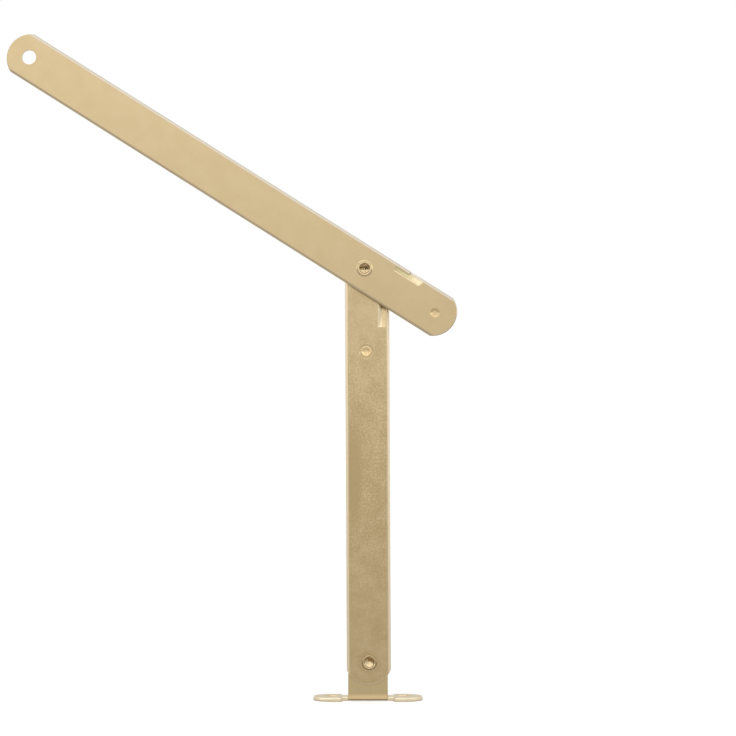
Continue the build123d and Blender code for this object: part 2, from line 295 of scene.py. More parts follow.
def coated(tree, colour, *coats):
    """The plain colour under one coat after another, each the share that it covers and its colour."""
    base = (*colour, 1.0)
    for cover, coat in coats:
        base = add(tree, "ShaderNodeMix", {0: cover, 6: base, 7: (*coat, 1.0)}, out=2,
                   data_type="RGBA")
    return base


def metal_surface(tree, output, base, roughness, height, strength, depth_mm):
    """Metal with an uneven skin: `height` gives its bumps, and `depth_mm` how deep they are. The real
    skin is finer still, and its bumps are made 0.35 to 0.5 mm wide so that they show."""
    bump = add(tree, "ShaderNodeBump",
               {"Strength": strength, "Distance": depth_mm * MM, "Height": height})
    shader = add(tree, "ShaderNodeBsdfPrincipled",
                 {"Base Color": base, "Metallic": 1.0, "Roughness": roughness, "Normal": bump})
    tree.links.new(shader, output.inputs["Surface"])


def painted_edge_highlights(tree, arm, end_arc_mm, left):
    """Share of painted highlight along the strip's right mill edge, `left` times that along its left one,
    and round its cropped lower end, whose arc is centred `end_arc_mm` along the strip."""
    axes = add(tree, "ShaderNodeSeparateXYZ", [arm], out=None)
    start, full = in_metres(MILL_EDGE)
    right_edge = add(tree, RAMP, [axes["X"], start, full], **SMOOTH)
    left_edge = add(tree, RAMP, [axes["X"], -start, -full, 0.0, left], **SMOOTH)
    sides = add(tree, MATH, [right_edge, left_edge], operation="MAXIMUM")
    from_arc = add(tree, MATH, [axes["Z"], end_arc_mm * MM], operation="SUBTRACT")
    past = add(tree, MATH, [from_arc, 0.0], operation="MINIMUM")
    end = add(tree, RAMP, [apart(tree, axes["X"], past), *in_metres(CROPPED_EDGE)], **SMOOTH)
    edges = add(tree, MATH, [sides, end], operation="MAXIMUM")
    return add(tree, MATH, [edges, 0.9], operation="MULTIPLY")


def rubbed_spot(tree, arm, middle_mm, reach_mm, amount):
    """Share of bright metal at the detent: the seat that the nub clicks into, or the nub's dimple."""
    spot = oval(tree, arm, (middle_mm, 0, DETENT), (reach_mm, 9, reach_mm))
    return add(tree, RAMP, [spot, 0.75, 1.1, amount, 0.0], **SMOOTH)


def lanced(tree, arm, inner_mm, bright_to_mm, amount):
    """Two shares inside a lance, from `inner_mm` outwards: metal on its slopes made bright by `amount`, as
    far as `bright_to_mm`, partly bared metal and partly painted highlight, and painted shade deep in its
    opening."""
    axes = add(tree, "ShaderNodeSeparateXYZ", [arm], out=None)
    within = add(tree, MATH, [between(tree, axes["X"], (inner_mm - 0.05, RAIL_INNER)),
                              between(tree, axes["Z"], LANCE)], operation="MULTIPLY")
    bright = add(tree, MATH, [axes["X"], bright_to_mm * MM], operation="LESS_THAN")
    slopes = add(tree, MATH, [between(tree, axes["Y"], (0.02, 0.9)), bright], operation="MULTIPLY")
    slopes = add(tree, MATH, [slopes, within], operation="MULTIPLY")
    deep = add(tree, RAMP, [axes["Y"], 0.85 * MM, 1.1 * MM], **SMOOTH)
    deep = add(tree, MATH, [deep, within], operation="MULTIPLY")
    not_back = add(tree, MATH, [axes["Y"], 1.4 * MM], operation="LESS_THAN")
    return (add(tree, MATH, [slopes, amount], operation="MULTIPLY"),
            add(tree, MATH, [deep, not_back], operation="MULTIPLY"))


def smooth_strip(name, origin, turn, finish):
    """Cold-rolled strip, brass plated: an even soft satin with faint clouds, painted highlight along its
    edges, strongest on the top edge, and painted highlight and shade in the lance.
    """
    material, tree, output = new_material(name)
    arm = from_middle(tree, origin, turn)
    cloud = add(tree, "ShaderNodeTexNoise", {"Vector": arm, "Scale": 1 / (6.0 * MM), "Detail": 3.0})
    cloud = add(tree, RAMP, [cloud, 0.3, 0.7, 0.41, 0.54], **SMOOTH)
    # Lance: painted highlight on its slopes, painted shade in its opening.
    slopes, opening = lanced(tree, arm, 4.0, 9.0, 0.42)
    base = coated(tree, finish.plate,
                  (cloud, finish.tarnish_and_shade),
                  # Painted highlight on the edges: full on the top edge, a quarter on the lower edge.
                  (painted_edge_highlights(tree, arm, TAIL_ARC, 0.25), finish.painted_highlight_upper_arm),
                  (rubbed_spot(tree, arm, 0, 1.4, 0.28), finish.rubbed_and_painted_sheen),
                  (slopes, finish.bare_and_painted_light),
                  (opening, finish.painted_recess_shade))
    skin = add(tree, "ShaderNodeTexNoise",
               {"Vector": arm, "Scale": 1 / (0.45 * MM), "Roughness": 0.6})
    metal_surface(tree, output, base, finish.strip_roughness, skin, 0.1, 0.012)
    return material


def mottled_strip(name, origin, turn, pivot, finish):
    """The same strip, dulled by handling: fine grain and brown specks, most half way down, a
    tarnished patch near the left edge, painted shade that darkens the lower half, a band round
    the foot rivet that is partly a rubbed mark and partly painted shade, painted highlight along
    the edges, and painted highlight and shade in the lance."""
    material, tree, output = new_material(name)
    arm = from_middle(tree, origin, turn)
    along = add(tree, "ShaderNodeSeparateXYZ", [arm], out="Z")

    # Grain 0.6 mm wide, full 55 mm below the knuckle and weaker towards both ends.
    below_worst = add(tree, MATH, [along, 55 * MM], operation="ADD")
    from_worst = add(tree, MATH, [below_worst], operation="ABSOLUTE")
    grain = add(tree, RAMP, [from_worst, 8 * MM, 48 * MM, 1.0, 0.35], **SMOOTH)
    fine = add(tree, "ShaderNodeTexNoise",
               {"Vector": arm, "Scale": 1 / (0.6 * MM), "Detail": 3.0, "Roughness": 0.7})
    fine = add(tree, RAMP, [fine, 0.3, 0.7, -0.55, 0.55], **SMOOTH)
    fine = add(tree, MATH, [fine, grain], operation="MULTIPLY")

    # Clouds 5 mm wide, the tarnished patch, painted shade darkening the lower half, and the band
    # round the foot rivet, partly a mark where fingers rub and partly painted shade.
    cloud = add(tree, "ShaderNodeTexNoise", {"Vector": arm, "Scale": 1 / (5.0 * MM), "Detail": 3.0})
    cloud = add(tree, RAMP, [cloud, 0.3, 0.7, 0.3, 0.7], **SMOOTH)
    patch = add(tree, MATH, [oval(tree, arm, (-4.2, 0, -60), (2.8, 9, 19)), cloud], operation="ADD")
    patch = add(tree, RAMP, [patch, 0.7, 1.6, 0.75, 0.0], **SMOOTH)
    # Painted shade: darker towards the bottom of the arm.
    painted_lower_half_shade = add(tree, RAMP, [along, -20 * MM, -55 * MM, 0.0, 0.2], **SMOOTH)
    # Band round the foot rivet: partly a rubbed mark, partly painted shade beside the rivet's rim.
    from_pivot = oval(tree, arm, pivot, (1, 9, 1))
    ring_mark_and_shade = add(tree, MATH, [add(tree, RAMP, [from_pivot, 2.2, 2.7, 0.0, 0.2], **SMOOTH),
                            add(tree, RAMP, [from_pivot, 3.0, 4.2, 1.0, 0.0], **SMOOTH)],
               operation="MULTIPLY")
    dulled = cloud
    for layer in (fine, patch, painted_lower_half_shade, ring_mark_and_shade):
        dulled = add(tree, MATH, [dulled, layer], operation="ADD")

    # Specks 0.8 mm wide, where the grain is.
    specks = add(tree, "ShaderNodeTexNoise",
                 {"Vector": arm, "Scale": 1 / (0.8 * MM), "Roughness": 0.7})
    specks = add(tree, RAMP, [specks, 0.62, 0.72, 0.0, 0.5], **SMOOTH)
    specks = add(tree, MATH, [specks, grain], operation="MULTIPLY")

    # Lance: painted highlight on its slopes, painted shade in its opening.
    slopes, opening = lanced(tree, arm, 3.1, 4.4, 0.4)
    base = coated(tree, finish.plate,
                  (dulled, finish.tarnish_and_shade),
                  (specks, finish.speck_and_shade),
                  (rubbed_spot(tree, arm, -0.35, 1.5, 0.65), finish.rubbed_and_painted_sheen),
                  # Painted highlight along both long edges and round the foot end.
                  (painted_edge_highlights(tree, arm, FOOT_ARC, 1.0), finish.painted_highlight_lower_arm),
                  (slopes, finish.bare_and_painted_light),
                  (opening, finish.painted_recess_shade))
    skin = add(tree, "ShaderNodeTexNoise",
               {"Vector": arm, "Scale": 1 / (0.45 * MM), "Roughness": 0.6})
    bumps = add(tree, MATH, [skin, grain], operation="MULTIPLY")
    metal_surface(tree, output, base, finish.strip_roughness, bumps, 0.5, 0.012)
    return material


def formed_skin(tree, place):
    """Marks of forming and barrel plating on sheet: patches dulled, and a fine uneven skin."""
    dulled = add(tree, "ShaderNodeTexNoise",
                 {"Vector": place, "Scale": 1 / (1.2 * MM), "Detail": 3.0, "Roughness": 0.6})
    skin = add(tree, "ShaderNodeTexNoise",
               {"Vector": place, "Scale": 1 / (0.5 * MM), "Roughness": 0.6})
    return add(tree, RAMP, [dulled, 0.35, 0.75, 0.0, 0.3], **SMOOTH), skin


def washer_metal(name, finish):
    """Brass-plated steel punching, satin all over."""
    material, tree, output = new_material(name)
    dulled, skin = formed_skin(tree, add(tree, "ShaderNodeTexCoord", out="Object"))
    base = coated(tree, finish.rivet, (dulled, finish.tarnish_and_shade))
    metal_surface(tree, output, base, finish.strip_roughness, skin, 0.4, 0.01)
    return material


def bracket_metal(name, finish):
    """Brass-plated sheet. Its wings' sheared edges show bright steel, partly bared by shearing and partly
    a painted reflection; the outside of the bend carries a painted warm sheen in place of the floor's
    reflection, and painted contact shade runs along the bottom where it stands on its base."""
    material, tree, output = new_material(name)
    place = add(tree, "ShaderNodeTexCoord", out="Object")
    dulled, skin = formed_skin(tree, place)
    axes = add(tree, "ShaderNodeSeparateXYZ", [place], out=None)
    up = axes["Z"]
    across = add(tree, MATH, [axes["X"]], operation="ABSOLUTE")
    beside = add(tree, RAMP, [across, *in_metres(STEM_SIDE)], **SMOOTH)
    stem = add(tree, RAMP, [across, *in_metres(STEM_SIDE), 1.0, 0.0], **SMOOTH)

    # The wings' sheared edges, up to the top of the sheet: partly steel bared by shearing, partly a
    # painted reflection of the bright floor.
    wings = add(tree, RAMP, [up, 1.1 * MM, 1.2 * MM, 1.0, 0.0], **SMOOTH)
    wings = add(tree, MATH, [wings, beside], operation="MULTIPLY")

    # The outer face of the bend, in front of its axis: a painted warm sheen in place of the floor's
    # reflection.
    bend_y, bend_z = in_metres(BEND_AXIS)
    from_bend = apart(tree, add(tree, MATH, [axes["Y"], bend_y], operation="SUBTRACT"),
                      add(tree, MATH, [up, bend_z], operation="SUBTRACT"))
    outside = add(tree, MATH, [from_bend, BEND_MIDDLE_RADIUS * MM], operation="GREATER_THAN")
    in_front = add(tree, MATH, [axes["Y"], bend_y], operation="LESS_THAN")
    painted_bend_sheen = add(tree, RAMP, [up, 1.3 * MM, 2.3 * MM, 1.0, 0.0], **SMOOTH)
    for limit in (stem, outside, in_front):
        painted_bend_sheen = add(tree, MATH, [painted_bend_sheen, limit], operation="MULTIPLY")

    # Painted contact shade along the bottom, wider under the bend.
    under_bend = add(tree, RAMP, [up, 0.4 * MM, 0.75 * MM, 0.9, 0.0], **SMOOTH)
    under_bend = add(tree, MATH, [under_bend, stem], operation="MULTIPLY")
    all_round = add(tree, RAMP, [up, 0.15 * MM, 0.45 * MM, 0.6, 0.0], **SMOOTH)
    painted_contact_shade = add(tree, MATH, [under_bend, all_round], operation="MAXIMUM")

    base = coated(tree, finish.sheet, (dulled, finish.tarnish_and_shade), (wings, finish.bare_and_painted_light),
                  (painted_bend_sheen, finish.rubbed_and_painted_sheen), (painted_contact_shade, finish.speck_and_shade))
    metal_surface(tree, output, base, finish.strip_roughness, skin, 0.4, 0.01)
    return material


def rivet_metal(name, centre, mm, finish):
    """Bright brass-plated rivet wire. Where the size table says so, painted shade darkens the deep part
    of the hollow, and the rim's outer flank is darkened in patches, partly dull plating and partly
    painted shade."""
    material, tree, output = new_material(name)
    spot = from_middle(tree, centre, 0.0)
    axes = add(tree, "ShaderNodeSeparateXYZ", [spot], out=None)
    reach = apart(tree, axes["X"], axes["Z"])
    patchy = add(tree, "ShaderNodeTexNoise",
                 {"Vector": spot, "Scale": 1 / (0.9 * MM), "Detail": 3.0, "Roughness": 0.7})
    coats = []
    roughness = finish.rivet_roughness

    # Flank darkened in patches, partly dull plating and partly painted shade round the rim, in front
    # of the arm only.
    if mm["dull"]:
        uneven = add(tree, MATH, [patchy, 0.5], operation="SUBTRACT")
        mottled_reach = add(tree, MATH, [uneven, 1.6 * MM, reach], operation="MULTIPLY_ADD")
        flank = add(tree, RAMP, [mottled_reach, *in_metres((mm["dull_from"], mm["dull_from"] + 0.25)),
                                 0.0, mm["dull"]], **SMOOTH)
        front = add(tree, MATH, [axes["Y"], 0.0], operation="LESS_THAN")
        coats.append((add(tree, MATH, [flank, front], operation="MULTIPLY"), finish.speck_and_shade))

    # Painted shade deep in the hollow.
    if mm["bare_and_painted_light"]:
        ragged = add(tree, MATH, [patchy, 0.5 * MM, axes["Y"]], operation="MULTIPLY_ADD")
        deep = add(tree, RAMP, [ragged, 0.35 * MM, 0.75 * MM, 0.0, mm["bare_and_painted_light"]], **SMOOTH)
        in_hollow = add(tree, MATH, [reach, mm["hollow"] * 1.05 * MM], operation="LESS_THAN")
        deep = add(tree, MATH, [deep, in_hollow], operation="MULTIPLY")
        coats.append((deep, finish.painted_hollow_shade))
        roughness = add(tree, RAMP, [deep, 0.0, 1.0, finish.rivet_roughness, 0.6], **SMOOTH)

    skin = add(tree, "ShaderNodeTexNoise",
               {"Vector": spot, "Scale": 1 / (0.35 * MM), "Roughness": 0.6})
    metal_surface(tree, output, coated(tree, finish.rivet, *coats), roughness, skin, 0.4, 0.01)
    return material


# ---- rivets, by geometry nodes ---------------------------------------------------------------

RIVET_INPUTS = {
    "NodeSocketFloat": (
        "Shank Radius", "Head Radius", "Head Height", "Head Round", "Grip", "Rim Radius",
        "Rim Height", "Rim Slope", "Crest Radius", "Hollow Radius", "Hollow Depth", "Hollow Lean",
        "Cone Depth", "Flap", "Tear", "Tear Size", "Waver", "Seed"),
    "NodeSocketInt": ("Sides",),
    "NodeSocketVector": ("Centre",),
    "NodeSocketMaterial": ("Metal",),
}


def rivet_profile(tree, size, tip):
    """Outline of half a rivet as points in order, from the middle of its back to the hollow's tip."""
    head, shank, rim = size["Head Radius"], size["Shank Radius"], size["Rim Radius"]
    crest, hollow = size["Crest Radius"], size["Hollow Radius"]
    grip, rim_height = size["Grip"], size["Rim Height"]
    back = add(tree, MATH, [grip, size["Head Height"]], operation="ADD")

    # Rounded shoulder of the head.
    shoulder = add(tree, MATH, [head, size["Head Round"]], operation="SUBTRACT")
    shoulder_depth = add(tree, MATH, [back, size["Head Round"]], operation="SUBTRACT")
    shoulder_pull = add(tree, MATH, [size["Head Round"], QUARTER_PULL], operation="MULTIPLY")
    shoulder_out = add(tree, MATH, [shoulder, shoulder_pull], operation="ADD")
    shoulder_back = add(tree, MATH, [shoulder_depth, shoulder_pull], operation="ADD")

    # Rolled rim: up its outer flank to the crest.
    crest_depth = add(tree, MATH, [rim_height, -1.0], operation="MULTIPLY")
    roll_width = add(tree, MATH, [rim, crest], operation="SUBTRACT")
    roll_pull = add(tree, MATH, [roll_width, QUARTER_PULL], operation="MULTIPLY")
    roll_out = add(tree, MATH, [crest, roll_pull], operation="ADD")
    flank_lean = add(tree, MATH, [roll_width, size["Rim Slope"]], operation="MULTIPLY")
    flank = add(tree, MATH, [rim, flank_lean], operation="SUBTRACT")
    flank_rise = add(tree, MATH, [rim_height, -QUARTER_PULL], operation="MULTIPLY")

    # Flare from the crest down into the hollow.
    flare_end = add(tree, MATH, [rim_height, 0.5], operation="MULTIPLY")
    flare_width = add(tree, MATH, [crest, hollow], operation="SUBTRACT")
    flare_pull = add(tree, MATH, [flare_width, QUARTER_PULL], operation="MULTIPLY")
    flare_in = add(tree, MATH, [crest, flare_pull], operation="SUBTRACT")
    flare_rise = add(tree, MATH, [rim_height, 1.5 * QUARTER_PULL], operation="MULTIPLY")
    flare_top = add(tree, MATH, [flare_end, flare_rise], operation="SUBTRACT")

    # Each run is its places, as radius and depth, and its number of points. Four places are a
    # curve's start, two handles and end.
    runs = (
        (((0.0, back), (shoulder, back)), 4),
        (((shoulder, back), (shoulder_out, back), (head, shoulder_back), (head, shoulder_depth)), 10),
        (((head, shoulder_depth), (head, grip)), 2),
        (((head, grip), (shank, grip)), 2),
        (((shank, grip), (shank, 0.0)), 2),
        (((shank, 0.0), (rim, 0.0)), 2),
        (((rim, 0.0), (flank, flank_rise), (roll_out, crest_depth), (crest, crest_depth)), 10),
        (((crest, crest_depth), (flare_in, crest_depth), (hollow, flare_top), (hollow, flare_end)),
         10),
        (((hollow, flare_end), (hollow, size["Hollow Depth"])), 10),
        (((hollow, size["Hollow Depth"]), (0.0, tip)), 16),
    )
    profile = tree.nodes.new("GeometryNodeJoinGeometry")
    for places, count in reversed(runs):
        places = [add(tree, "ShaderNodeCombineXYZ", place) for place in places]
        if len(places) == 2:
            straight = add(tree, "GeometryNodeCurvePrimitiveLine",
                           {"Start": places[0], "End": places[1]})
            run = add(tree, "GeometryNodeResampleCurve", {"Curve": straight, "Count": count})
        else:
            sockets = ("Start", "Start Handle", "End Handle", "End")
            run = add(tree, "GeometryNodeCurvePrimitiveBezierSegment",
                      {"Resolution": count, **dict(zip(sockets, places))})
        tree.links.new(run, profile.inputs[0])
    return add(tree, "GeometryNodeCurveToPoints", {"Curve": profile.outputs[0]}, mode="EVALUATED")


def turned(tree, profile, sides):
    """Closed body turned from the profile's points about the rivet's axis."""
    count = add(tree, "GeometryNodeAttributeDomainSize", {"Geometry": profile}, out="Point Count",
                component="POINTCLOUD")
    columns = add(tree, MATH, [sides, 1], operation="ADD")
    grid = add(tree, "GeometryNodeMeshGrid",
               {"Size X": 1.0, "Size Y": 1.0, "Vertices X": count, "Vertices Y": columns})
    place = add(tree, "GeometryNodeInputPosition")
    where = add(tree, "ShaderNodeSeparateXYZ", [place], out=None)
    down = add(tree, MATH, [where["X"], 0.5], operation="ADD")
    last = add(tree, MATH, [count, 1], operation="SUBTRACT")
    row = add(tree, MATH, [add(tree, MATH, [down, last], operation="MULTIPLY")], operation="ROUND")
    round_axis = add(tree, MATH, [where["Y"], 0.5], operation="ADD")
    angle = add(tree, MATH, [round_axis, 2 * math.pi], operation="MULTIPLY")
    met = add(tree, "GeometryNodeSampleIndex", {"Geometry": profile, "Value": place, "Index": row},
              data_type="FLOAT_VECTOR", domain="POINT")
    met = add(tree, "ShaderNodeSeparateXYZ", [met], out=None)
    cosine, sine = (add(tree, MATH, [angle], operation=wave) for wave in ("COSINE", "SINE"))
    x, z = (add(tree, MATH, [met["X"], wave], operation="MULTIPLY") for wave in (cosine, sine))
    place = add(tree, "ShaderNodeCombineXYZ", [x, met["Y"], z])
    body = add(tree, "GeometryNodeSetPosition", {"Geometry": grid, "Position": place})
    return add(tree, "GeometryNodeMergeByDistance", {"Geometry": body, "Distance": 1e-7})


def torn(tree, body, size, tip):
    """The body with a torn hollow: lumps all over it, a flap that fills its lower part nearly to
    the face, and a bottom that leans off the rivet's axis."""
    place = add(tree, "GeometryNodeInputPosition")
    axes = add(tree, "ShaderNodeSeparateXYZ", [place], out=None)
    depth = axes["Y"]
    from_axis = apart(tree, axes["X"], axes["Z"])
    rim_of_hollow = add(tree, MATH, [size["Hollow Radius"], 1.02], operation="MULTIPLY")
    in_hollow = add(tree, MATH, [from_axis, rim_of_hollow], operation="LESS_THAN")
    past_tip = add(tree, MATH, [tip, 1e-5], operation="ADD")
    above_tip = add(tree, MATH, [depth, past_tip], operation="LESS_THAN")
    inside = add(tree, MATH, [in_hollow, above_tip], operation="MULTIPLY")

    # Lumps, each raised or sunk by up to the tear's height.
    finer = add(tree, MATH, [1.0, size["Tear Size"]], operation="DIVIDE")
    lumps = add(tree, "ShaderNodeTexNoise",
                {"Vector": place, "W": size["Seed"], "Scale": finer, "Detail": 3.0, "Roughness": 0.7},
                noise_dimensions="4D")
    lumps = add(tree, MATH, [lumps, 0.5], operation="SUBTRACT")
    lump_height = add(tree, MATH, [lumps, size["Tear"]], operation="MULTIPLY")
    lump_rise = add(tree, MATH, [lump_height, -2.0], operation="MULTIPLY")

    # The flap: it starts above the axis, is full a little below it, and has a ragged border.
    full_radius_down = add(tree, MATH, [size["Hollow Radius"], -1.0], operation="MULTIPLY")
    below = add(tree, MATH, [axes["Z"], full_radius_down], operation="DIVIDE")
    ragged = add(tree, MATH, [lumps, 2.6], operation="MULTIPLY")
    flap = add(tree, MATH, [below, ragged], operation="ADD")
    flap = add(tree, RAMP, [flap, -0.45, 0.15], **SMOOTH)
    flap = add(tree, MATH, [flap, size["Flap"]], operation="MULTIPLY")
    flap = add(tree, MATH, [depth, flap], operation="MULTIPLY")
    flap_rise = add(tree, MATH, [flap, -0.85], operation="MULTIPLY")
    rise = add(tree, MATH, [flap_rise, lump_rise], operation="ADD")
    rise = add(tree, MATH, [rise, inside], operation="MULTIPLY")

    # The lean: the cone's tip goes up and to the right, and the wall above it the other way.
    sunk = add(tree, MATH, [depth, 0.0], operation="MAXIMUM")
    in_cone = add(tree, MATH, [depth, size["Hollow Depth"]], operation="SUBTRACT")
    in_cone = add(tree, MATH, [in_cone, 0.0], operation="MAXIMUM")
    astray = add(tree, MATH, [in_cone, 2.8], operation="MULTIPLY")
    astray = add(tree, MATH, [astray, sunk], operation="SUBTRACT")
    astray = add(tree, MATH, [astray, inside], operation="MULTIPLY")
    lean = add(tree, MATH, [astray, size["Hollow Lean"]], operation="MULTIPLY")
    sideways = add(tree, MATH, [lean, 0.5], operation="MULTIPLY")
    shift = add(tree, "ShaderNodeCombineXYZ", [sideways, rise, lean])
    return add(tree, "GeometryNodeSetPosition", {"Geometry": body, "Offset": shift})


def wavering(tree, body, size):
    """The body with an uneven rim: its rolled edge swells and thins as it goes round, in waves
    1.6 mm long."""
    place = add(tree, "GeometryNodeInputPosition")
    axes = add(tree, "ShaderNodeSeparateXYZ", [place], out=None)
    swell = add(tree, "ShaderNodeTexNoise",
                {"Vector": place, "W": size["Seed"], "Scale": 1 / (1.6 * MM), "Detail": 1.0},
                noise_dimensions="4D")
    swell = add(tree, MATH, [swell, 0.65], operation="SUBTRACT")
    amount = add(tree, MATH, [swell, size["Waver"]], operation="MULTIPLY")
    rim_only = add(tree, MATH, [axes["Y"], -0.05 * MM], operation="LESS_THAN")
    amount = add(tree, MATH, [amount, rim_only], operation="MULTIPLY")
    outward = add(tree, "ShaderNodeCombineXYZ", {"X": axes["X"], "Z": axes["Z"]})
    unit = add(tree, "ShaderNodeVectorMath", [outward], operation="NORMALIZE")
    shift = add(tree, "ShaderNodeVectorMath", {0: unit, 3: amount}, operation="SCALE")
    return add(tree, "GeometryNodeSetPosition", {"Geometry": body, "Offset": shift})


def rivet_tree():
    """Semi-tubular rivet turned from a profile: head, shank, rolled rim and ragged hollow."""
    tree = bpy.data.node_groups.new("Semi-tubular rivet", "GeometryNodeTree")
    for kind, names in RIVET_INPUTS.items():
        for name in names:
            tree.interface.new_socket(name, in_out="INPUT", socket_type=kind)
    tree.interface.new_socket("Rivet", in_out="OUTPUT", socket_type="NodeSocketGeometry")
    size = add(tree, "NodeGroupInput", out=None)
    tip = add(tree, MATH, [size["Hollow Depth"], size["Cone Depth"]], operation="ADD")
    body = turned(tree, rivet_profile(tree, size, tip), size["Sides"])
    body = wavering(tree, torn(tree, body, size, tip), size)
    placed = add(tree, "GeometryNodeTransform", {"Geometry": body, "Translation": size["Centre"]})
    real = add(tree, "GeometryNodeRealizeInstances", {"Geometry": placed})
    final = add(tree, "GeometryNodeSetMaterial", {"Geometry": real, "Material": size["Metal"]})
    add(tree, "NodeGroupOutput", [final])
    return tree


def make_rivet(name, tree, values):
    """Rivet piece from the tree, as a plain mesh."""
    piece = bpy.data.objects.new(name, bpy.data.meshes.new(name))
    modifier = piece.modifiers.new("Rivet", "NODES")
    modifier.node_group = tree
    for item in tree.interface.items_tree:
        if item.in_out == "INPUT":
            modifier[item.identifier] = values[item.name]
    bpy.context.scene.collection.objects.link(piece)
    bake(piece, name)
    shade(piece, 40)
    return piece


def finishes():
    """The arms', bracket's and washer's materials, made once."""
    finish = bpy.context.scene.lid_stay_finish
    if "Brass-plated rolled strip, smooth" not in bpy.data.materials:
        knuckle = Vector((KNUCKLE.x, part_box("upper_arm")[0].y, KNUCKLE.z))
        sideways = Vector((math.cos(LOWER_LEAN), 0, math.sin(LOWER_LEAN)))
        middle = Vector((KNUCKLE.x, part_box("lower_arm")[0].y, KNUCKLE.z))
        middle += KNUCKLE_TO_MIDDLE * MM * sideways
        foot = Matrix.Rotation(LOWER_LEAN, 3, "Y") @ (FOOT_PIVOT - middle) / MM
        smooth_strip("Brass-plated rolled strip, smooth", knuckle,
                     turn_from_upright(KNUCKLE, LID_HOLE), finish)
        mottled_strip("Brass-plated rolled strip, mottled", middle, -LOWER_LEAN,
                      (foot.x, 0, foot.z), finish)
        bracket_metal("Brass-plated bracket sheet", finish)
        washer_metal("Brass-plated washer", finish)
    return bpy.data.materials


# ---- operators -------------------------------------------------------------------------------

class LIDSTAY_OT_arms(bpy.types.Operator):
    """Dress both arms: softened edges and brass-plated strip."""

    bl_idname = "lid_stay.arms"
    bl_label = "Arms"

    def execute(self, context):
        edge = context.scene.lid_stay_sizes.arm_edge
        for node, body, name, metal in (
                ("upper_arm", "upper", "strip_upper", "Brass-plated rolled strip, smooth"),
                ("lower_arm", "lower", "strip_lower", "Brass-plated rolled strip, mottled")):
            piece = softened_copy(node, edge, name, finishes()[metal])
            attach(piece, body)
            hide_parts(node)
        return {"FINISHED"}


class LIDSTAY_OT_bracket(bpy.types.Operator):
    """Dress the foot bracket: softened sheared edges and brass-plated sheet."""

    bl_idname = "lid_stay.bracket"
    bl_label = "Foot bracket"

    def execute(self, context):
        edge = context.scene.lid_stay_sizes.bracket_edge
        metal = finishes()["Brass-plated bracket sheet"]
        piece = softened_copy("foot_bracket", edge, "bent_foot", metal)
        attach(piece, "foot")
        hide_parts("foot_bracket")
        return {"FINISHED"}


class LIDSTAY_OT_rivets(bpy.types.Operator):
    """Make the two semi-tubular rivets."""

    bl_idname = "lid_stay.rivets"
    bl_label = "Rivets"

    def execute(self, context):
        sizes = context.scene.lid_stay_sizes
        finish = context.scene.lid_stay_finish
        tree = rivet_tree()
        # Radii, heights and depths in mm. The rest are shares: how far the rim's flank slopes in, how
        # far the hollow leans and its flap fills it, how much painted shade darkens the hollow deep
        # inside, and how much the flank outside is darkened, partly dull plating and partly painted shade.
        rivets = (
            ("rivet_knuckle", "lower", "knuckle_rivet", KNUCKLE, sizes.knuckle_tear, 3.0,
             dict(shank=1.85, head=3.2, rim=2.45, rise=0.45, slope=0.8, crest=1.8, hollow=1.35,
                  deep=0.45, lean=0.15, flap=1.0, bare_and_painted_light=0.06, dull=0.0)),
            ("rivet_foot", "foot", "foot_rivet", FOOT_PIVOT, sizes.foot_tear, 11.0,
             dict(shank=1.65, head=3.0, rim=2.3, rise=0.42, slope=0.1, crest=1.85, hollow=1.35,
                  deep=0.7, lean=0.45, flap=0.0, bare_and_painted_light=0.0, dull=0.65, dull_from=1.5)),
        )
        for name, body, node, pivot, tear, seed, mm in rivets:
            low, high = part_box(node)
            front = low.y + mm["rise"] * MM
            centre = (pivot.x, front, pivot.z)
            piece = make_rivet(name, tree, {
                "Shank Radius": mm["shank"] * MM, "Head Radius": mm["head"] * MM,
                "Head Height": HEAD_HEIGHT * MM, "Head Round": HEAD_ROUND * MM,
                "Grip": high.y - front - HEAD_HEIGHT * MM,
                "Rim Radius": mm["rim"] * MM, "Rim Height": mm["rise"] * MM, "Rim Slope": mm["slope"],
                "Crest Radius": mm["crest"] * MM, "Hollow Radius": mm["hollow"] * MM,
                "Hollow Depth": mm["deep"] * MM, "Hollow Lean": mm["lean"],
                "Cone Depth": CONE_SHARE * mm["hollow"] * MM, "Flap": mm["flap"],
                "Tear": tear, "Tear Size": sizes.tear_size, "Waver": sizes.rim_waver,
                "Sides": sizes.rivet_sides, "Seed": seed, "Centre": centre,
                "Metal": rivet_metal(f"Brass-plated rivet wire, {body}", centre, mm, finish)})
            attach(piece, body)
            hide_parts(node)
        return {"FINISHED"}


class LIDSTAY_OT_washer(bpy.types.Operator):
    """Give the washer between the arms its metal."""

    bl_idname = "lid_stay.washer"
    bl_label = "Washer"

    def execute(self, context):
        washer = frame["nodes"]["knuckle_washer"]
        washer.material_slots[0].material = finishes()["Brass-plated washer"]
        return {"FINISHED"}


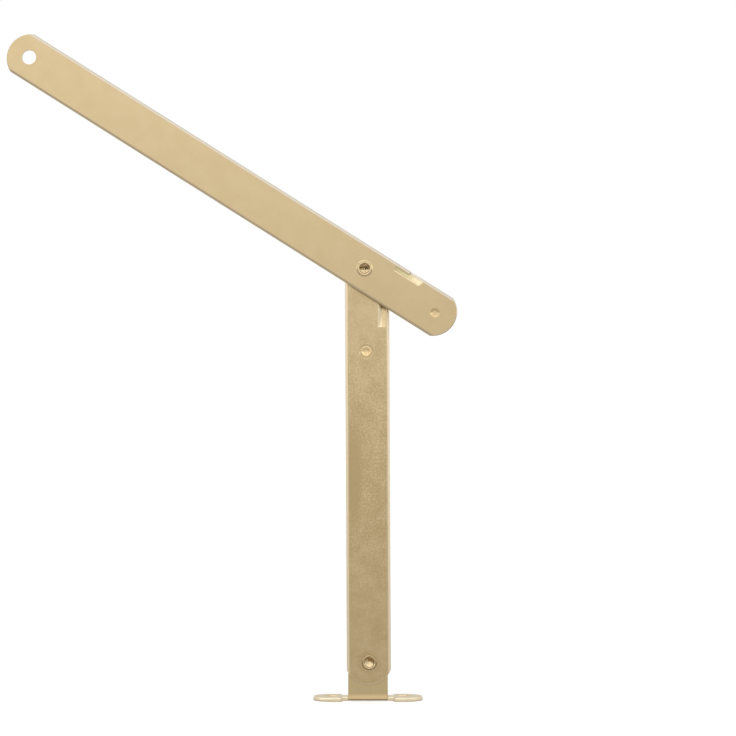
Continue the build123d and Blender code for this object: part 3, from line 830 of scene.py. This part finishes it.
class LIDSTAY_OT_stage(bpy.types.Operator):
    """Set up the floor, the plain soft light and the camera."""

    bl_idname = "lid_stay.stage"
    bl_label = "Stage"

    def execute(self, context):
        scene = context.scene
        stage = scene.lid_stay_stage
        self.make_world(scene, stage.plain_level)
        self.make_floor(scene, stage.floor_size / 2)
        self.make_card(scene)
        self.make_lamps(scene)
        self.make_camera(scene, stage)
        scene.view_settings.view_transform = "Standard"
        return {"FINISHED"}

    @staticmethod
    def seen(tree):
        """1 for rays that show the backdrop: from the camera, or mirrored or bent by the object."""
        rays = add(tree, "ShaderNodeLightPath", out=None)
        shown = add(tree, MATH, [rays["Is Camera Ray"], rays["Is Glossy Ray"]], operation="MAXIMUM")
        return add(tree, MATH, [shown, rays["Is Transmission Ray"]], operation="MAXIMUM")

    @staticmethod
    def lay_sheet(scene, name, corners, material):
        """One flat face with its material."""
        mesh = bpy.data.meshes.new(name)
        mesh.from_pydata(corners, [], [(0, 1, 2, 3)])
        mesh.materials.append(material)
        sheet = bpy.data.objects.new(name, mesh)
        scene.collection.objects.link(sheet)
        return sheet

    def make_world(self, scene, plain_level):
        """White room where it is seen or mirrored, and plain light of `plain_level` elsewhere."""
        world = bpy.data.worlds.new("Plain white room")
        world.use_nodes = True
        tree = world.node_tree
        tree.nodes.clear()
        level = add(tree, RAMP, {"Value": self.seen(tree), "To Min": plain_level, "To Max": 1.0})
        room = add(tree, "ShaderNodeBackground", {"Color": (1, 1, 1, 1), "Strength": level})
        add(tree, "ShaderNodeOutputWorld", {"Surface": room})
        scene.world = world

    def make_floor(self, scene, half):
        """Matt white board that keeps the stay's shadow and is lifted to white where it is seen."""
        material, tree, output = new_material("Matt white board")
        board = add(tree, "ShaderNodeBsdfDiffuse", {"Color": (0.8, 0.8, 0.8, 1)})
        place = add(tree, "ShaderNodeTexCoord", out="Object")
        away = add(tree, "ShaderNodeVectorMath", [place], out="Value", operation="LENGTH")
        glow = add(tree, RAMP, [away, 0.2, 2.0, 0.34, 0.54], **SMOOTH)
        glow = add(tree, MATH, [self.seen(tree), glow], operation="MULTIPLY")
        lift = add(tree, "ShaderNodeEmission", {"Strength": glow})
        both = add(tree, "ShaderNodeAddShader", [board, lift])
        tree.links.new(both, output.inputs["Surface"])
        corners = [(-half, -half, 0), (half, -half, 0), (half, half, 0), (-half, half, 0)]
        floor = self.lay_sheet(scene, "floor", corners, material)

    def make_card(self, scene):
        """Grey card on the floor in front, which only shiny surfaces see, as their darker side."""
        near, far, side, height = 0.3, -2.6, 1.6, 0.0002
        material, tree, output = new_material("Grey card")
        grey = add(tree, "ShaderNodeEmission", {"Strength": 0.78})
        tree.links.new(grey, output.inputs["Surface"])
        corners = [(-side, far, height), (side, far, height),
                   (side, near, height), (-side, near, height)]
        card = self.lay_sheet(scene, "grey card", corners, material)
        card.visible_camera = card.visible_diffuse = False
        card.visible_shadow = card.visible_transmission = False

    def make_lamps(self, scene):
        """Soft boxes, each with its place, aim, width and height in m, its watts and its colour."""
        for name, place, aim, extent, power, code in (
                ("Front softbox", (-0.30, -1.55, 1.02), (0.0, 0.0, 0.30), (2.6, 1.7), 9.5, "F4F8FF"),
                ("Top softbox", (0.1, -0.35, 1.7), (0.0, 0.0, 0.1), (3.0, 2.2), 9.0, "FFFFFF"),
                ("Right softbox", (1.9, -0.8, 0.62), (0.0, 0.0, 0.3), (1.8, 1.2), 5.4, "FFFFFF"),
                ("Left softbox", (-1.9, -0.8, 0.62), (0.0, 0.0, 0.3), (1.8, 1.2), 3.0, "FFFFFF")):
            light = bpy.data.lights.new(name, "AREA")
            light.shape = "RECTANGLE"
            light.size, light.size_y = extent
            light.energy = power
            light.color = linear(code)
            lamp = bpy.data.objects.new(name, light)
            scene.collection.objects.link(lamp)
            turn = (Vector(aim) - Vector(place)).to_track_quat("-Z", "Y").to_matrix().to_4x4()
            lamp.matrix_world = Matrix.Translation(place) @ turn
            lamp.visible_camera = False

    def make_camera(self, scene, stage):
        camera = bpy.data.cameras.new("Camera")
        camera.lens = stage.lens
        camera.sensor_width = 36.0
        eye = bpy.data.objects.new("Camera", camera)
        eye.location = (0.0, -stage.camera_distance, stage.camera_height)
        eye.rotation_euler = (math.radians(90), 0, 0)
        scene.collection.objects.link(eye)
        scene.camera = eye


OPERATORS = (LIDSTAY_OT_arms, LIDSTAY_OT_bracket, LIDSTAY_OT_rivets, LIDSTAY_OT_washer,
             LIDSTAY_OT_stage)


class LIDSTAY_PT_panel(bpy.types.Panel):
    """Lists the stay's pieces and settings."""

    bl_idname = "LIDSTAY_PT_panel"
    bl_label = "Lid stay"
    bl_space_type = "VIEW_3D"
    bl_region_type = "UI"
    bl_category = "Lid stay"

    def draw(self, context):
        for group, kind in GROUPS.items():
            box = self.layout.box()
            for name in kind.__annotations__:
                box.prop(getattr(context.scene, group), name)
        for operator in OPERATORS:
            self.layout.operator(operator.bl_idname)


CLASSES = (*GROUPS.values(), *OPERATORS, LIDSTAY_PT_panel)


def register():
    for kind in CLASSES:
        bpy.utils.register_class(kind)
    for name, kind in GROUPS.items():
        setattr(bpy.types.Scene, name, PointerProperty(type=kind))


def unregister():
    for name in GROUPS:
        delattr(bpy.types.Scene, name)
    for kind in reversed(CLASSES):
        bpy.utils.unregister_class(kind)


def main():
    """Builds the whole scene, one operator after another."""
    register()
    for make in (bpy.ops.lid_stay.arms, bpy.ops.lid_stay.bracket, bpy.ops.lid_stay.rivets,
                 bpy.ops.lid_stay.washer, bpy.ops.lid_stay.stage):
        make()


if __name__ == "__main__":
    main()
